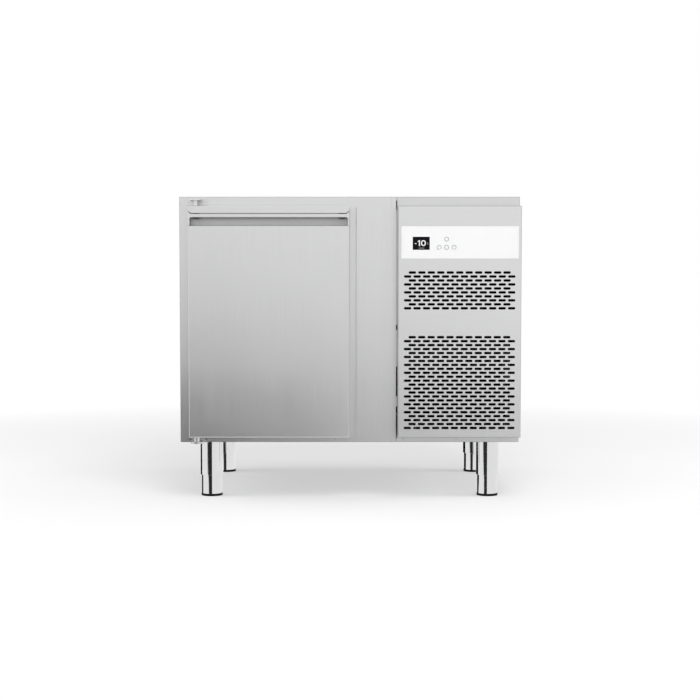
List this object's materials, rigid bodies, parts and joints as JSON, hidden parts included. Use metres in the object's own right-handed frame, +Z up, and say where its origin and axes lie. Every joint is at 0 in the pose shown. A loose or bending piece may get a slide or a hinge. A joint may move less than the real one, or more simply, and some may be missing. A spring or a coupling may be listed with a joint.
{
  "type": "undercounter freezer",
  "caption": "Free-standing undercounter freezer: hinged door with a recessed pull handle, side machine bay behind a slotted front, control plate, and height-adjustable round legs.",
  "frame": {"origin": "on the floor, under the middle of the overall box", "axes": "+Z up, -Y towards the front with the door and the grilles, +X towards the machine bay, which is at the viewer's right"},
  "size_m": [0.935, 0.7, 0.835],
  "materials": {
    "casing_steel": "satin brushed stainless sheet",
    "frame_steel": "satin brushed stainless sheet",
    "front_steel": "satin brushed stainless sheet",
    "grille_steel": "satin brushed stainless sheet",
    "door_steel": "satin brushed stainless sheet",
    "handle_steel": "satin brushed stainless sheet",
    "cap_steel": "satin brushed stainless sheet",
    "liner_steel": "smooth stainless sheet",
    "hinge_steel": "tumbled stainless",
    "screw_steel": "bright plated",
    "rack_steel": "bright wire and strip",
    "leg_steel": "polished tube",
    "foot_steel": "polished tube",
    "pad_rubber": "matte black",
    "bush_plastic": "matte black",
    "foam": null,
    "gasket_rubber": "matte grey",
    "control_white": "satin white",
    "display_black": "gloss black window",
    "key_plastic": "satin white",
    "board_green": "solder mask green",
    "coil_aluminium": "bare fins",
    "condenser_paint": "black painted fins",
    "copper": "drawn copper",
    "compressor_paint": "gloss black paint",
    "motor_paint": "black paint",
    "fan_plastic": "dark grey",
    "shroud_paint": "black paint",
    "mount_rubber": "matte black",
    "tray_plastic": "grey",
    "gland_plastic": "matte black"
  },
  "bodies": {
    "cabinet": {"left_side_panel": "casing_steel", "back_panel": "casing_steel", "top_panel": "casing_steel", "bottom_panel": "casing_steel", "partition_panel": "casing_steel", "technical_side_panel": "casing_steel", "technical_back_panel": "casing_steel", "technical_top_panel": "casing_steel", "technical_floor": "casing_steel", "face_frame": "frame_steel", "fixed_front_panel": "front_steel", "technical_front_panel": "grille_steel", "cold_room_liner": "liner_steel", "evaporator_cover": "liner_steel", "upper_hinge_bracket": "hinge_steel", "lower_hinge_bracket": "hinge_steel", "panel_screws": "screw_steel", "rack_posts": "rack_steel", "shelf_runners": "rack_steel", "wire_shelf_upper": "rack_steel", "wire_shelf_lower": "rack_steel", "leg_tubes": "leg_steel", "insulation": "foam", "control_plate": "control_white", "display_window": "display_black", "control_board": "board_green", "evaporator_coil": "coil_aluminium", "condenser_coil": "condenser_paint", "refrigerant_pipes": "copper", "filter_drier": "copper", "compressor": "compressor_paint", "terminal_box": "compressor_paint", "evaporator_fan_motor": "motor_paint", "condenser_fan_motor": "motor_paint", "condenser_fan_shroud": "shroud_paint", "compressor_mounts": "mount_rubber", "drip_tray": "tray_plastic", "evaporation_tray": "tray_plastic", "cable_gland": "gland_plastic"},
    "door": {"door_outer_skin": "door_steel", "door_handle_profile": "handle_steel", "door_top_cap": "cap_steel", "door_foam": "foam", "door_inner_liner": "liner_steel", "door_gasket": "gasket_rubber", "door_hinge_bushes": "bush_plastic"},
    "condenser_fan": {"condenser_fan_blade": "fan_plastic"},
    "evaporator_fan": {"evaporator_fan_blade": "fan_plastic"},
    "leveller_front_left": {"foot_front_left": "foot_steel", "foot_pad_front_left": "pad_rubber"},
    "leveller_front_right": {"foot_front_right": "foot_steel", "foot_pad_front_right": "pad_rubber"},
    "leveller_rear_left": {"foot_rear_left": "foot_steel", "foot_pad_rear_left": "pad_rubber"},
    "leveller_rear_right": {"foot_rear_right": "foot_steel", "foot_pad_rear_right": "pad_rubber"},
    "key_up": {"key_up": "key_plastic"},
    "key_left": {"key_left": "key_plastic"},
    "key_down": {"key_down": "key_plastic"},
    "key_right": {"key_right": "key_plastic"}
  },
  "joints": [
    {"name": "door_hinge", "type": "hinge", "parent": "cabinet", "child": "door", "pos_m": [-0.419, -0.332, 0.49], "axis": [0, 0, -1], "range_deg": [0, 110], "stiffness_Nm_per_rad": 1, "springref_deg": -20.05},
    {"name": "condenser_fan_spin", "type": "hinge", "parent": "cabinet", "child": "condenser_fan", "pos_m": [0.29, -0.209, 0.33], "axis": [0, -1, 0], "continuous": true},
    {"name": "evaporator_fan_spin", "type": "hinge", "parent": "cabinet", "child": "evaporator_fan", "pos_m": [-0.014, 0.08, 0.64], "axis": [-1, 0, 0], "continuous": true},
    {"name": "foot_screw_front_left", "type": "slide", "parent": "cabinet", "child": "leveller_front_left", "axis": [0, 0, -1], "range_m": [0, 0.03]},
    {"name": "foot_screw_front_right", "type": "slide", "parent": "cabinet", "child": "leveller_front_right", "axis": [0, 0, -1], "range_m": [0, 0.03]},
    {"name": "foot_screw_rear_left", "type": "slide", "parent": "cabinet", "child": "leveller_rear_left", "axis": [0, 0, -1], "range_m": [0, 0.03]},
    {"name": "foot_screw_rear_right", "type": "slide", "parent": "cabinet", "child": "leveller_rear_right", "axis": [0, 0, -1], "range_m": [0, 0.03]},
    {"name": "key_up_press", "type": "slide", "parent": "cabinet", "child": "key_up", "axis": [0, 1, 0], "range_m": [0, 0.0008], "stiffness_N_per_m": 800, "springref_m": -0.002},
    {"name": "key_left_press", "type": "slide", "parent": "cabinet", "child": "key_left", "axis": [0, 1, 0], "range_m": [0, 0.0008], "stiffness_N_per_m": 800, "springref_m": -0.002},
    {"name": "key_down_press", "type": "slide", "parent": "cabinet", "child": "key_down", "axis": [0, 1, 0], "range_m": [0, 0.0008], "stiffness_N_per_m": 800, "springref_m": -0.002},
    {"name": "key_right_press", "type": "slide", "parent": "cabinet", "child": "key_right", "axis": [0, 1, 0], "range_m": [0, 0.0008], "stiffness_N_per_m": 800, "springref_m": -0.002}
  ]
}
